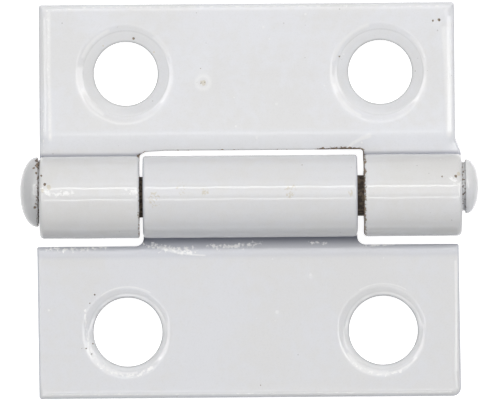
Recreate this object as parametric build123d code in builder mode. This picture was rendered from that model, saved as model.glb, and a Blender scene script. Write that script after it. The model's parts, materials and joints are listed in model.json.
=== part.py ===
from build123d import *
import os
from dataclasses import dataclass
from math import asin, atan2, degrees, tan

# Cabinet butt hinge, one inch long, laid open flat.
# Three pieces: a leaf with two outer knuckles, a leaf with one centre knuckle, and a pin headed at both ends.
# Millimetres. The pin lies along X, and +Z is the front, on which the screw heads sit.
# z = 0 is the plane that both leaves screw down on, and the origin lies on it under the middle of the barrel.

# Pin and sheet
PIN_DIA = 2.45
RUNNING_CLEARANCE = 0.05
SHEET = 1.2

# Step of the sheet towards the barrel's back, which narrows the gap between the closed leaves
STEP_DOWN = 0.4
BEND_R = 0.4

# The rolled sheet's end stops this far above the neck that it closes on
SEAM_GAP = 0.04

# Barrel along X: half its length, the centre knuckle's two ends, and the play beside it
BARREL_END = 12.7
CENTRE_KNUCKLE = (-6.48, 6.42)
LEFT_PLAY = 0.21
RIGHT_PLAY = 0.38
KNUCKLE_EDGE_R = 0.26

# What follows from those sizes
PIN_R = PIN_DIA / 2
BORE_R = PIN_R + RUNNING_CLEARANCE
BARREL_R = BORE_R + SHEET
AXIS_Z = BARREL_R - STEP_DOWN
TAIL_ANGLE = degrees(asin((SEAM_GAP - BORE_R) / BARREL_R))
ROLL_ANGLE = 270 - TAIL_ANGLE
LEFT_KNUCKLE_END = CENTRE_KNUCKLE[0] - LEFT_PLAY
RIGHT_KNUCKLE_END = CENTRE_KNUCKLE[1] + RIGHT_PLAY
UPPER_KNUCKLE_ENDS = (
    (-BARREL_END, -1),
    (LEFT_KNUCKLE_END, 1),
    (RIGHT_KNUCKLE_END, -1),
    (BARREL_END, 1),
)
LOWER_KNUCKLE_ENDS = ((CENTRE_KNUCKLE[0], -1), (CENTRE_KNUCKLE[1], 1))

# How far a cutting shape runs past what it cuts, and where that is behind the barrel
PAST = 1.0
BEHIND = -BARREL_R - PAST
RIM_PAST = 0.03


@dataclass(frozen=True)
class ScrewSeat:
    """A hole punched from the front: a plain bore, a sunk ledge round it for the screw head, and a rolled rim.

    The ledge and the rim are given by their widths, and the ledge falls a little towards the bore.
    """

    bore_dia: float
    ledge: float
    rim: float
    depth: float
    fall: float


@dataclass(frozen=True)
class EdgeRoll:
    """The rounding that the punch leaves along a front edge: its width on the face and its depth at the side."""

    width: float
    depth: float


@dataclass(frozen=True)
class Leaf:
    """One leaf, towards +Y or -Y of the pin.

    The step and the shoulders are given by how far they are past the barrel. The sides are set in from the barrel's
    ends, first beside the pin and then at the outer edge.
    """

    side: int
    reach: float
    step_outer: float
    step_inner: float
    shoulder: float
    left_in: tuple[float, float]
    right_in: tuple[float, float]
    corner_r: tuple[float, float]
    holes_x: tuple[float, float]
    holes_reach: float
    seat: ScrewSeat
    left_roll: EdgeRoll
    right_roll: EdgeRoll
    outer_roll: EdgeRoll

    def past_barrel(self, distance: float) -> float:
        """How far from the pin a place is that lies this far past the barrel."""
        return BARREL_R + distance


@dataclass(frozen=True)
class Head:
    """A pin end upset into a dome: a short collar, a straight rim and the dome, off the pin's axis towards +Y."""

    side: int
    off_axis: float
    collar_dia: float
    collar: float
    dia: float
    rim: float
    dome: float


UPPER = Leaf(
    side=1,
    reach=11.63,
    step_outer=1.375,
    step_inner=0.075,
    shoulder=0.385,
    left_in=(0, 0),
    right_in=(0.34, 0.34),
    corner_r=(0.16, 0.16),
    holes_x=(-7.47, 7.87),
    holes_reach=7.45,
    seat=ScrewSeat(bore_dia=3.85, ledge=0.65, rim=0.4, depth=0.16, fall=0.04),
    left_roll=EdgeRoll(0.66, 0.26),
    right_roll=EdgeRoll(0.95, 0.22),
    outer_roll=EdgeRoll(0.35, 0.24),
)

LOWER = Leaf(
    side=-1,
    reach=12.13,
    step_outer=0.975,
    step_inner=-0.075,
    shoulder=0.585,
    left_in=(-0.2, -0.13),
    right_in=(0.18, 0.08),
    corner_r=(0.16, 0.5),
    holes_x=(-7.46, 7.94),
    holes_reach=8.13,
    seat=ScrewSeat(bore_dia=4.15, ledge=0.2, rim=0.38, depth=0.14, fall=0.04),
    left_roll=EdgeRoll(0.2, 0.14),
    right_roll=EdgeRoll(0.5, 0.26),
    outer_roll=EdgeRoll(0.36, 0.24),
)

# The two-knuckle leaf's notch. Its left corner is eased by two slopes, each given by where it starts: how far past
# the knuckle's end and how far past the barrel. A third place is where the notch's edge runs on straight.
NOTCH_EASE = ((0, 0.02), (0.35, 0.225), (1.5, 0.385))
NOTCH_EASE_R = (0.2, 0.3, 1.0)
NOTCH_CORNER_R = 0.2

# The slope by which the right knuckle stands out past its leaf's side, between two distances past the barrel
RIGHT_SLOPE = (0.175, 0.895)
RIGHT_SLOPE_R = 0.3

# The centre-knuckle leaf's corners where its neck meets the shoulders
NECK_CORNER_R = 0.5
SHOULDER_CORNER_R = 0.1

# Each head's dome ends in a small flat, where the tool that upset it bottomed
HEAD_TIP_DIA = 0.3
HEADS = (
    Head(side=-1, off_axis=0.36, collar_dia=3.8, collar=0.07, dia=4.2, rim=0.1, dome=1.02),
    Head(side=1, off_axis=0.50, collar_dia=2.95, collar=0.21, dia=3.28, rim=0.06, dome=0.76),
)


def leaf_section(leaf: Leaf) -> Sketch:
    """The sheet seen along the pin: flat leaf, step down under the barrel, and the roll round the pin."""
    plane = Plane(origin=(0, 0, 0), x_dir=(0, leaf.side, 0), z_dir=(leaf.side, 0, 0))
    step_outer = leaf.past_barrel(leaf.step_outer)
    step_inner = leaf.past_barrel(leaf.step_inner)
    bend_shift = SHEET * tan(atan2(STEP_DOWN, step_outer - step_inner) / 2)
    with BuildSketch(plane) as section:
        with BuildLine():
            back = FilletPolyline(
                (leaf.reach, 0),
                (step_outer, 0),
                (step_inner, -STEP_DOWN),
                (0, -STEP_DOWN),
                radius=(BEND_R, BEND_R + SHEET),
            )
            outside = CenterArc((0, AXIS_Z), BARREL_R, -90, -ROLL_ANGLE)
            inside = CenterArc((0, AXIS_Z), BORE_R, -90, -ROLL_ANGLE)
            front = FilletPolyline(
                (leaf.reach, SHEET),
                (step_outer - bend_shift, SHEET),
                (step_inner - bend_shift, SHEET - STEP_DOWN),
                (0, SHEET - STEP_DOWN),
                radius=(BEND_R + SHEET, BEND_R),
            )
            Line(outside @ 1, inside @ 1)
            Line(back @ 0, front @ 0)
        make_face()
    return section.sketch


def roll_waste(start: Vector, end: Vector, roll: EdgeRoll) -> Sketch:
    """What an edge roll takes away, seen along the edge. The leaf lies to the right of start to end.

    The roll is a quarter circle that leaves the front face at the roll's width and passes the side at its depth.
    """
    along = (end - start).normalized()
    radius = (roll.width**2 + roll.depth**2) / (2 * roll.depth)
    outside = radius - roll.width + PAST
    with BuildSketch(Plane(origin=start, x_dir=Vector(0, 0, 1).cross(along), z_dir=along)) as waste:
        with BuildLine():
            arc = CenterArc((-roll.width, SHEET - radius), radius, 0, 90)
            Polyline(
                arc @ 1,
                (-roll.width, SHEET + PAST),
                (outside, SHEET + PAST),
                (outside, SHEET - radius),
                arc @ 0,
            )
        make_face()
    return waste.sketch


def seat_waste(x: float, y: float, seat: ScrewSeat) -> Sketch:
    """Half the section of what a screw hole takes away, to be turned about the hole's axis at x, y."""
    plane = Plane(origin=(x, y, 0), x_dir=(1, 0, 0), z_dir=(0, -1, 0))
    bore_r = seat.bore_dia / 2
    ledge_r = bore_r + seat.ledge
    rim_r = ledge_r + seat.rim
    with BuildSketch(plane) as waste:
        with BuildLine():
            rim = TangentArc((rim_r, SHEET), (ledge_r, SHEET - seat.depth), tangent=(-1, 0))
            Polyline(
                rim @ 1,
                (bore_r, SHEET - seat.depth - seat.fall),
                (bore_r, -PAST),
                (0, -PAST),
                (0, SHEET + PAST),
                (rim_r, SHEET + PAST),
                rim @ 0,
            )
        make_face()
    return waste.sketch


def side_x(leaf: Leaf) -> tuple[tuple[float, float], tuple[float, float]]:
    """The X of the left side and of the right side, each beside the pin and at the outer edge."""
    left = (leaf.left_in[0] - BARREL_END, leaf.left_in[1] - BARREL_END)
    right = (BARREL_END - leaf.right_in[0], BARREL_END - leaf.right_in[1])
    return left, right


def rolled_edges(leaf: Leaf) -> list[tuple[Vector, Vector, EdgeRoll]]:
    """The left, outer and right front edges, each from start to end with the leaf on its right.

    They run past the outer corners, and the two sides stop short of the barrel.
    """
    inner_y = leaf.side * leaf.past_barrel(leaf.shoulder / 2)
    outer_y = leaf.side * leaf.reach
    past_y = leaf.side * (leaf.reach + PAST)
    left, right = side_x(leaf)
    clockwise = [
        (Vector(left[0], inner_y), Vector(left[1], past_y), leaf.left_roll),
        (Vector(left[1] - PAST, outer_y), Vector(right[1] + PAST, outer_y), leaf.outer_roll),
        (Vector(right[1], past_y), Vector(right[0], inner_y), leaf.right_roll),
    ]
    if leaf.side > 0:
        return clockwise
    return [(end, start, roll) for start, end, roll in clockwise]


def rim_waste(end_x: float, outward: int) -> Sketch:
    """The corner that is rounded off a knuckle's end, at the barrel's back, where the neck runs into it."""
    plane = Plane(origin=(end_x, 0, AXIS_Z), x_dir=(outward, 0, 0), z_dir=(0, outward, 0))
    flat_r = BARREL_R - KNUCKLE_EDGE_R
    with BuildSketch(plane) as waste:
        with BuildLine():
            arc = TangentArc((-KNUCKLE_EDGE_R, BARREL_R), (0, flat_r), tangent=(1, 0))
            Polyline(
                arc @ 1,
                (RIM_PAST, flat_r),
                (RIM_PAST, BARREL_R + RIM_PAST),
                (-KNUCKLE_EDGE_R, BARREL_R + RIM_PAST),
                arc @ 0,
            )
        make_face()
    return waste.sketch


with BuildPart() as two_knuckle_leaf:
    extrude(leaf_section(UPPER), amount=BARREL_END + PAST, both=True)
    left_x, right_x = side_x(UPPER)
    ease = [Vector(LEFT_KNUCKLE_END + x, UPPER.past_barrel(past)) for x, past in NOTCH_EASE]
    with BuildSketch():
        with BuildLine():
            FilletPolyline(
                (left_x[1], UPPER.reach),
                (-BARREL_END, BEHIND),
                (LEFT_KNUCKLE_END, BEHIND),
                *ease,
                (RIGHT_KNUCKLE_END, UPPER.past_barrel(UPPER.shoulder)),
                (RIGHT_KNUCKLE_END, BEHIND),
                (BARREL_END, BEHIND),
                (BARREL_END, UPPER.past_barrel(RIGHT_SLOPE[0])),
                (right_x[0], UPPER.past_barrel(RIGHT_SLOPE[1])),
                (right_x[1], UPPER.reach),
                radius=(
                    UPPER.corner_r[0],
                    0,
                    0,
                    *NOTCH_EASE_R,
                    NOTCH_CORNER_R,
                    0,
                    0,
                    RIGHT_SLOPE_R,
                    RIGHT_SLOPE_R,
                    UPPER.corner_r[1],
                ),
                close=True,
            )
        make_face()
    extrude(amount=2 * BARREL_R, both=True, mode=Mode.INTERSECT)
    pin_axis = Axis((0, 0, AXIS_Z), (-UPPER.side, 0, 0))
    for end_x, outward in UPPER_KNUCKLE_ENDS:
        waste = rim_waste(end_x, outward)
        revolve(waste, axis=pin_axis, revolution_arc=ROLL_ANGLE, mode=Mode.SUBTRACT)
        extrude(waste, amount=BARREL_R - KNUCKLE_EDGE_R, dir=(0, UPPER.side, 0), mode=Mode.SUBTRACT)
    for start, end, roll in rolled_edges(UPPER):
        extrude(roll_waste(start, end, roll), amount=(end - start).length, mode=Mode.SUBTRACT)
    for x in UPPER.holes_x:
        y = UPPER.side * UPPER.holes_reach
        revolve(seat_waste(x, y, UPPER.seat), axis=Axis((x, y, 0), (0, 0, 1)), mode=Mode.SUBTRACT)

with BuildPart() as centre_knuckle_leaf:
    extrude(leaf_section(LOWER), amount=BARREL_END + PAST, both=True)
    left_x, right_x = side_x(LOWER)
    shoulder_y = -LOWER.past_barrel(LOWER.shoulder)
    with BuildSketch():
        with BuildLine():
            FilletPolyline(
                (left_x[1], -LOWER.reach),
                (right_x[1], -LOWER.reach),
                (right_x[0], shoulder_y),
                (CENTRE_KNUCKLE[1], shoulder_y),
                (CENTRE_KNUCKLE[1], -BEHIND),
                (CENTRE_KNUCKLE[0], -BEHIND),
                (CENTRE_KNUCKLE[0], shoulder_y),
                (left_x[0], shoulder_y),
                radius=(
                    LOWER.corner_r[0],
                    LOWER.corner_r[1],
                    SHOULDER_CORNER_R,
                    NECK_CORNER_R,
                    0,
                    0,
                    NECK_CORNER_R,
                    SHOULDER_CORNER_R,
                ),
                close=True,
            )
        make_face()
    extrude(amount=2 * BARREL_R, both=True, mode=Mode.INTERSECT)
    pin_axis = Axis((0, 0, AXIS_Z), (-LOWER.side, 0, 0))
    for end_x, outward in LOWER_KNUCKLE_ENDS:
        waste = rim_waste(end_x, outward)
        revolve(waste, axis=pin_axis, revolution_arc=ROLL_ANGLE, mode=Mode.SUBTRACT)
        extrude(waste, amount=BARREL_R - KNUCKLE_EDGE_R, dir=(0, LOWER.side, 0), mode=Mode.SUBTRACT)
    for start, end, roll in rolled_edges(LOWER):
        extrude(roll_waste(start, end, roll), amount=(end - start).length, mode=Mode.SUBTRACT)
    for x in LOWER.holes_x:
        y = LOWER.side * LOWER.holes_reach
        revolve(seat_waste(x, y, LOWER.seat), axis=Axis((x, y, 0), (0, 0, 1)), mode=Mode.SUBTRACT)

with BuildPart() as hinge_pin:
    with BuildSketch(Plane.YZ.offset(-BARREL_END)):
        with Locations((0, AXIS_Z)):
            Circle(PIN_R)
    extrude(amount=2 * BARREL_END)
    for head in HEADS:
        seat_at = (head.side * BARREL_END, head.off_axis, AXIS_Z)
        with BuildSketch(Plane(origin=seat_at, x_dir=(head.side, 0, 0), z_dir=(0, 0, head.side))):
            with BuildLine():
                rim_top = head.collar + head.rim
                tip_angle = degrees(asin(HEAD_TIP_DIA / head.dia))
                dome = EllipticalCenterArc(
                    (rim_top, 0),
                    head.dome,
                    head.dia / 2,
                    start_angle=tip_angle,
                    arc_size=90 - tip_angle,
                )
                Polyline(
                    dome @ 1,
                    (head.collar, head.dia / 2),
                    (head.collar, head.collar_dia / 2),
                    (0, head.collar_dia / 2),
                    (0, 0),
                    ((dome @ 0).X, 0),
                    dome @ 0,
                )
            make_face()
        revolve(axis=Axis(seat_at, (1, 0, 0)))

two_knuckle_leaf.part.label = "two_knuckle_leaf"
centre_knuckle_leaf.part.label = "centre_knuckle_leaf"
hinge_pin.part.label = "hinge_pin"

os.makedirs("parts", exist_ok=True)
export_step(two_knuckle_leaf.part, "parts/two_knuckle_leaf.step")
export_step(centre_knuckle_leaf.part, "parts/centre_knuckle_leaf.step")
export_step(hinge_pin.part, "parts/hinge_pin.step")
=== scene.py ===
"""The looks of a one-inch white cabinet butt hinge, laid open flat.

The two leaves are folded sheets and the pin is a headed rod. Each is worked out here as one closed
surface, with the punch's rolled edges, the enamel's soft corners and the flaws of its coat, and stands
for the plain node of the same piece. Sizes inside this file are millimetres; meshes are written in
metres.
"""

from __future__ import annotations

import json
import logging
import math
from dataclasses import dataclass, field
from enum import Enum

import bpy
import numpy as np
from mathutils import Matrix, Vector
from mathutils.geometry import delaunay_2d_cdt

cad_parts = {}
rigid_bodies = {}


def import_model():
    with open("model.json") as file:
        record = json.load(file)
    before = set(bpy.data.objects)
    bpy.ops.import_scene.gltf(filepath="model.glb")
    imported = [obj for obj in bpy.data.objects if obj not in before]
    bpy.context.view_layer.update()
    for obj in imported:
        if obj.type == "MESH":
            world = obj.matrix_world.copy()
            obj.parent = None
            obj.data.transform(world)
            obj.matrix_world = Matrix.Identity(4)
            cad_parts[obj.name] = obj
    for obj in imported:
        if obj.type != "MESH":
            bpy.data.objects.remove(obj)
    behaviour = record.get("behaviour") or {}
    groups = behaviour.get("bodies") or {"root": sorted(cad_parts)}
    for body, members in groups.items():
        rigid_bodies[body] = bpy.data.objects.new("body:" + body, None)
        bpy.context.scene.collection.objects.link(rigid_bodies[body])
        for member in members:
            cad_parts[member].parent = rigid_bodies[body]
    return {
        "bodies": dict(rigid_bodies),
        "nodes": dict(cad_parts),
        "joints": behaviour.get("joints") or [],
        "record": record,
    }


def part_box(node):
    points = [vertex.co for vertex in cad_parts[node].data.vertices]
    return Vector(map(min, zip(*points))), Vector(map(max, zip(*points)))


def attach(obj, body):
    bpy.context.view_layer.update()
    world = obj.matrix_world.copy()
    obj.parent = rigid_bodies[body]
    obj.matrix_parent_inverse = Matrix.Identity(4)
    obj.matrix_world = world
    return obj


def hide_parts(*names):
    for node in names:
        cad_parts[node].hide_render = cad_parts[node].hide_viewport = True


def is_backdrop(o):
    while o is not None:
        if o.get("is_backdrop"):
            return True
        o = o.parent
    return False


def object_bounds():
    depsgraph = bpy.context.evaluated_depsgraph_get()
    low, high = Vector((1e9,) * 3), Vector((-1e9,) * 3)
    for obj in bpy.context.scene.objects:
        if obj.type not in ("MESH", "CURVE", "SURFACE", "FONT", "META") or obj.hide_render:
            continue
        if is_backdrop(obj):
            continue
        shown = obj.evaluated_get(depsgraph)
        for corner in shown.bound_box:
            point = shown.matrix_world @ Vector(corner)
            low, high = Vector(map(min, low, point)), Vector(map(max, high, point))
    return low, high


LOG = logging.getLogger("hinge")

# A colour with its alpha, two numbers such as a place or the ends of a range, and a shader node's socket
Colour = tuple[float, float, float, float]
Pair = tuple[float, float]
Socket = bpy.types.NodeSocket

MM = 0.001

# How far the studio's floor lies under the hinge, in metres
FLOOR_GAP = 0.00001

# The enamel's own corner radius, where it runs over a sharp edge
FILM = 0.07

# What the triangulation counts as one point, and its kind of result: every triangle
SAME_POINT = 1e-5
ALL_TRIANGLES = 0

# How many sine waves make up the enamel's unevenness
WAVE_COUNT = 14

# The most degrees from point to point along a run of enamel round a screw seat
RUN_STEP = 10.0

# The masks that the finishes read from a mesh, some of which place painted shade and painted highlights; one
# that the mesh lacks reads as 0
MASKS = ("rim", "wear", "bare", "stain", "thick_and_highlight", "nibs", "painted_shade", "crease_shade", "matt_and_shade")


class Face(Enum):
    """The two faces of a sheet. The front becomes the bore and the back becomes the barrel's outside."""

    FRONT = 1
    BACK = -1


FRONT, BACK = Face


@dataclass(frozen=True)
class EdgeForm:
    """How the sheet ends at an edge.

    width and depth are the front's roll, back is the radius of the back's corner, and wear is how much of
    the enamel has gone from the edge, from 0 to 1.
    """

    width: float
    depth: float
    back: float = FILM
    wear: float = 0.0


@dataclass(frozen=True)
class Corner:
    """A corner of the flat blank: its x, its s inwards from the outer edge, its radius and its edge form."""

    x: float
    s: float
    radius: float
    form: EdgeForm


@dataclass(frozen=True)
class Mark:
    """A flaw in the enamel.

    x and reach say where it is: reach is the distance from the pin, across the leaf on the front face and
    over the top of the barrel on the back face. height is how far it stands proud, or is sunk where it is
    negative. A mark with ring over 0 is a burst bubble, which stands as a ring. bare is how much of it
    has lost its enamel, and stain how much it has yellowed.
    """

    x: float
    reach: float
    radius: float
    height: float = 0.0
    ring: float = 0.0
    bare: float = 0.0
    stain: float = 0.0
    face: Face = FRONT


class RunKind(Enum):
    """How a run of enamel looks, valued by how likely it is whitened at the middle of its line, as thicker
    enamel and a painted highlight.
    """

    NIBS = 0.74
    RIDGE = 1.0
    HIGHLIGHT_BAND = 0.96


NIBS, RIDGE, HIGHLIGHT_BAND = RunKind


@dataclass(frozen=True)
class Run:
    """Enamel that ran and set along a line: the x and reach of its points, its half width and its height.

    Nibs are broken up by the finish's own noise. A ridge is narrow and whole, and a band is a broad
    painted highlight, drawn as whiter enamel, along a rolled edge or round a seat's rim.
    """

    kind: RunKind
    path: tuple[Pair, ...]
    half_width: float
    height: float = 0.0
    face: Face = FRONT

    def distance(self, points: np.ndarray, path: np.ndarray) -> np.ndarray:
        """How far each point of the blank is from the line.

        For each stretch of the line the nearest place on it is taken, and the smallest distance is kept.

        Args:
            points: places on the blank, one a row.
            path: the line's own points on the blank.

        Returns:
            The distance at each place.
        """
        near = np.full(len(points), np.inf)
        for start, end in zip(path, path[1:]):
            near = np.minimum(near, beside(points, start, end)[1])
        return near


@dataclass
class Coat:
    """The enamel at each point of one face: its height, and how bare, yellowed, whitened as thicker enamel
    and a painted highlight, and nibbed it is.
    """

    height: np.ndarray
    bare: np.ndarray
    stain: np.ndarray
    thick_and_highlight: np.ndarray
    nibs: np.ndarray


@dataclass(frozen=True)
class SeatForm:
    """How a screw seat is pressed in: a ledge round the bore, and a sloping rim round the ledge.

    ledge and rim are widths, depth is how far the ledge lies below the face, and fall is how much deeper
    it is at the bore. The punch leant, so the rim is wider and the ledge deeper on one side: lean is by
    how much, as a share, and turn is the direction in degrees from +x towards +y. The last field is how
    strong the painted shade on the ledge and in its ring is, from 0 to 1. In capitals are the softness of
    the rim's ends as a share of its width, and how much painted shade the ledge, the ring where the rim
    rises and the bore's edge can take.
    """

    ledge: float
    rim: float
    depth: float
    fall: float
    lean: float
    turn: float
    shade_share: float

    SOFT = 0.13
    LEDGE_SHADE = 0.24
    LEDGE_FADE = 0.05
    RING_SHADE = 0.55
    RING_PAST = 0.01
    RING_WIDTH = 0.035
    EDGE_SHADE = 0.85
    EDGE_FADE = (0.02, 0.17)

    def painted_shade(self, distance: np.ndarray) -> np.ndarray:
        """The painted shade on a seat: a little on the ledge, at the bore's edge, and in a ring where the rim
        rises.

        The ring is a bell, exp(-((distance - ledge - RING_PAST) / RING_WIDTH)^2).

        Args:
            distance: distances from the bore's edge, outwards.

        Returns:
            The painted shade at each distance, from 0 to 1.
        """
        ledge = self.LEDGE_SHADE * fade(distance, self.ledge - self.LEDGE_FADE, self.ledge + self.LEDGE_FADE)
        ring = self.RING_SHADE * np.exp(-(((distance - self.ledge - self.RING_PAST) / self.RING_WIDTH) ** 2))
        edge = self.EDGE_SHADE * fade(distance, *self.EDGE_FADE)
        return np.maximum(self.shade_share * np.maximum(ledge, ring), edge)

    def drop(self, distance: np.ndarray, angle: np.ndarray) -> np.ndarray:
        """How far the front face is pressed in.

        From the bore out, the ledge rises by `fall` and the rim is a cone up to the face. Both ends of
        the cone are softened: its share t goes as the softplus of t less the softplus of t - 1, a
        straight line with round ends. The depth goes as 1 + lean * cos(angle - turn), and the rim's width
        half as much.

        Args:
            distance: distances from the bore's edge, outwards.
            angle: the direction of each point from the hole's centre, in radians.

        Returns:
            The drop below the flat face at each distance.
        """
        swing = 1.0 + self.lean * np.cos(angle - math.radians(self.turn))
        t = (distance - self.ledge) / (self.rim * (1.0 + swing) / 2.0)
        soft = self.SOFT / 2.0
        low = soft * np.logaddexp(0.0, t / soft)
        high = soft * np.logaddexp(0.0, (t - 1.0) / soft)
        sunk = 1.0 - np.clip(low - high, 0.0, 1.0)
        inwards = np.clip((self.ledge - distance) / self.ledge, 0.0, 1.0)
        return self.depth * swing * sunk + self.fall * inwards


@dataclass(frozen=True)
class ScrewSeat:
    """A screw hole: its place along the pin, its distance from the pin, its bore and its seat."""

    x: float
    reach: float
    bore_r: float
    form: SeatForm


@dataclass(frozen=True)
class HingeFrame:
    """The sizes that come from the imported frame."""

    axis_z: float
    barrel_r: float
    step_down: float

    @classmethod
    def read(cls, frame: dict) -> HingeFrame:
        """Works the shared sizes out.


        Returns:
            The height of the pin's axis, the barrel's radius and the depth of the leaves' step.
        """
        axis_z = frame["joints"][0]["pos_m"][2] / MM
        low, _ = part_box("two_knuckle_leaf")
        step_down = -low.z / MM
        return cls(axis_z=axis_z, barrel_r=axis_z + step_down, step_down=step_down)


def arc_drop(distance: np.ndarray, width: np.ndarray | float, depth: np.ndarray | float) -> np.ndarray:
    """A rolled edge: the circle that leaves the face level at `width` and is `depth` lower at the edge.

    Its radius is (width^2 + depth^2) / 2 depth, and it is lower by radius - sqrt(radius^2 - (width -
    distance)^2).

    Args:
        distance: distances from the edge.
        width: the roll's width on the face.
        depth: the roll's depth at the edge.

    Returns:
        The drop below the face at each distance.
    """
    radius = (width**2 + depth**2) / (2.0 * depth)
    reach = np.clip(width - distance, 0.0, width)
    return radius - np.sqrt(np.maximum(radius**2 - reach**2, 0.0))


def smooth_share(value: np.ndarray, low: float, high: float) -> np.ndarray:
    """A share that eases from 0 at low to 1 at high, as 3t^2 - 2t^3."""
    t = np.clip((value - low) / (high - low), 0.0, 1.0)
    return t * t * (3.0 - 2.0 * t)


def fade(value: np.ndarray, low: float, high: float) -> np.ndarray:
    """A share that eases from 1 at low to 0 at high."""
    return 1.0 - smooth_share(value, low, high)


def from_place(points: np.ndarray, x: float, s: float) -> np.ndarray:
    """How far each point is from a place on the blank."""
    return np.hypot(points[:, 0] - x, points[:, 1] - s)


def beside(points: np.ndarray, start: np.ndarray, end: np.ndarray) -> tuple[np.ndarray, np.ndarray]:
    """Each point's nearest place on a straight line, as a share of its length, and how far off that is."""
    side = end - start
    share = np.clip((points - start) @ side / (side @ side), 0.0, 1.0)
    return share, np.linalg.norm(points - start - share[:, None] * side, axis=1)


def waves(points: np.ndarray, seed: int, height: float, lengths: Pair) -> np.ndarray:
    """The enamel's slow unevenness: a sum of plane sine waves with seeded directions, lengths and phases.

    Args:
        points: places on the blank, one a row.
        seed: picks the waves.
        height: the height of each wave.
        lengths: the shortest and the longest wavelength.

    Returns:
        The height at each place.
    """
    draw = np.random.default_rng(seed)
    turn = draw.uniform(0.0, 2.0 * np.pi, WAVE_COUNT)
    number = 2.0 * np.pi / draw.uniform(*lengths, WAVE_COUNT)
    phase = draw.uniform(0.0, 2.0 * np.pi, WAVE_COUNT)
    along = np.outer(points[:, 0], number * np.cos(turn)) + np.outer(points[:, 1], number * np.sin(turn))
    return height * np.sin(along + phase).sum(axis=1)


def write_mesh(
    name: str,
    points: np.ndarray,
    faces: list[np.ndarray],
    masks: dict[str, np.ndarray],
) -> bpy.types.Object:
    """Makes a smooth-shaded mesh object at the origin.

    Args:
        name: the piece's name.
        points: its vertices, in millimetres.
        faces: arrays of vertex numbers, one row a face, such as triangles and then quads.
        masks: values from 0 to 1, or in millimetres, one a vertex, which the finishes read by name.

    Returns:
        The linked object.
    """
    mesh = bpy.data.meshes.new(name)
    mesh.vertices.add(len(points))
    mesh.vertices.foreach_set("co", (points * MM).astype(np.float32).ravel())
    corners = np.concatenate([rows.ravel() for rows in faces])
    counts = np.concatenate([np.full(len(rows), rows.shape[1]) for rows in faces])
    mesh.loops.add(len(corners))
    mesh.loops.foreach_set("vertex_index", corners.astype(np.int32))
    mesh.polygons.add(len(counts))
    mesh.polygons.foreach_set("loop_start", (np.cumsum(counts) - counts).astype(np.int32))
    mesh.update(calc_edges=True)
    for key, values in masks.items():
        layer = mesh.attributes.new(key, "FLOAT", "POINT")
        layer.data.foreach_set("value", values.astype(np.float32))
    mesh.shade_smooth()
    piece = bpy.data.objects.new(name, mesh)
    bpy.context.scene.collection.objects.link(piece)
    return piece


class SheetLine:
    """The sheet's middle line, seen along the pin, from the leaf's outer edge to the tail of the roll.

    The heading is a broken straight-line function of the length s, so each run is a straight or an arc.
    The place is the running sum of the heading's cosine and sine.
    """

    SAMPLES = 6000

    def __init__(self, start: Pair, runs: list[Pair]) -> None:
        """Lays the line out.

        Args:
            start: the distance from the pin and the height at which it starts.
            runs: the length and the turn in radians of each run, upwards being positive.
        """
        breaks = np.concatenate(([0.0], np.cumsum([length for length, _ in runs])))
        headings = np.concatenate(([0.0], np.cumsum([turn for _, turn in runs])))
        self.length = float(breaks[-1])
        self.roll_start = float(breaks[-2])
        self.s = np.linspace(0.0, self.length, self.SAMPLES)
        self.heading = np.interp(self.s, breaks, headings)
        middle = (self.heading[1:] + self.heading[:-1]) / 2.0
        step = np.diff(self.s)
        self.reach = start[0] - np.concatenate(([0.0], np.cumsum(np.cos(middle) * step)))
        self.height = start[1] + np.concatenate(([0.0], np.cumsum(np.sin(middle) * step)))

    def place(self, s: np.ndarray, offset: np.ndarray) -> tuple[np.ndarray, np.ndarray]:
        """The distance from the pin and the height of points that stand `offset` in front of the line."""
        heading = np.interp(s, self.s, self.heading)
        reach = np.interp(s, self.s, self.reach) + offset * np.sin(heading)
        height = np.interp(s, self.s, self.height) + offset * np.cos(heading)
        return reach, height

    def s_at(self, reach: float) -> float:
        """The length at which the flat and stepped part of the line is at a distance from the pin."""
        flat = self.s <= self.roll_start
        return float(np.interp(-reach, -self.reach[flat], self.s[flat]))


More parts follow.
